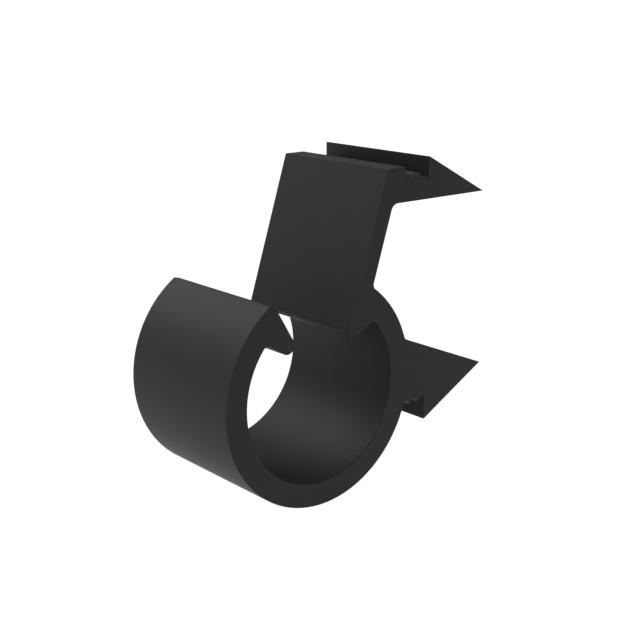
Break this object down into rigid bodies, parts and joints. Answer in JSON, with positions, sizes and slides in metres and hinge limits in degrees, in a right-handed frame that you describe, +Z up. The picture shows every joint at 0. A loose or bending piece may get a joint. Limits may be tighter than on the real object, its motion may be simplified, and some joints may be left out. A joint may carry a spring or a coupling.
{
  "type": "cable clip",
  "caption": "Snap-in cable clip: an open ring with a hooked mouth holds a cable, and barbed legs snap through a slot in a sheet panel and catch behind it.",
  "frame": {"origin": "middle of the panel's slot, in the plane of the panel's front face where the clip's shoulder meets it, halfway along the clip", "axes": "+X is the way the legs are pushed through the slot, +Y runs along the cable, and +Z runs up the slot from the lower leg to the upper leg"},
  "size_m": [0.0279, 0.013, 0.0274],
  "materials": {
    "black_nylon": "injection moulded, black, fine satin grain"
  },
  "bodies": {
    "root": {"cable_clip": "black_nylon"}
  },
  "joints": []
}
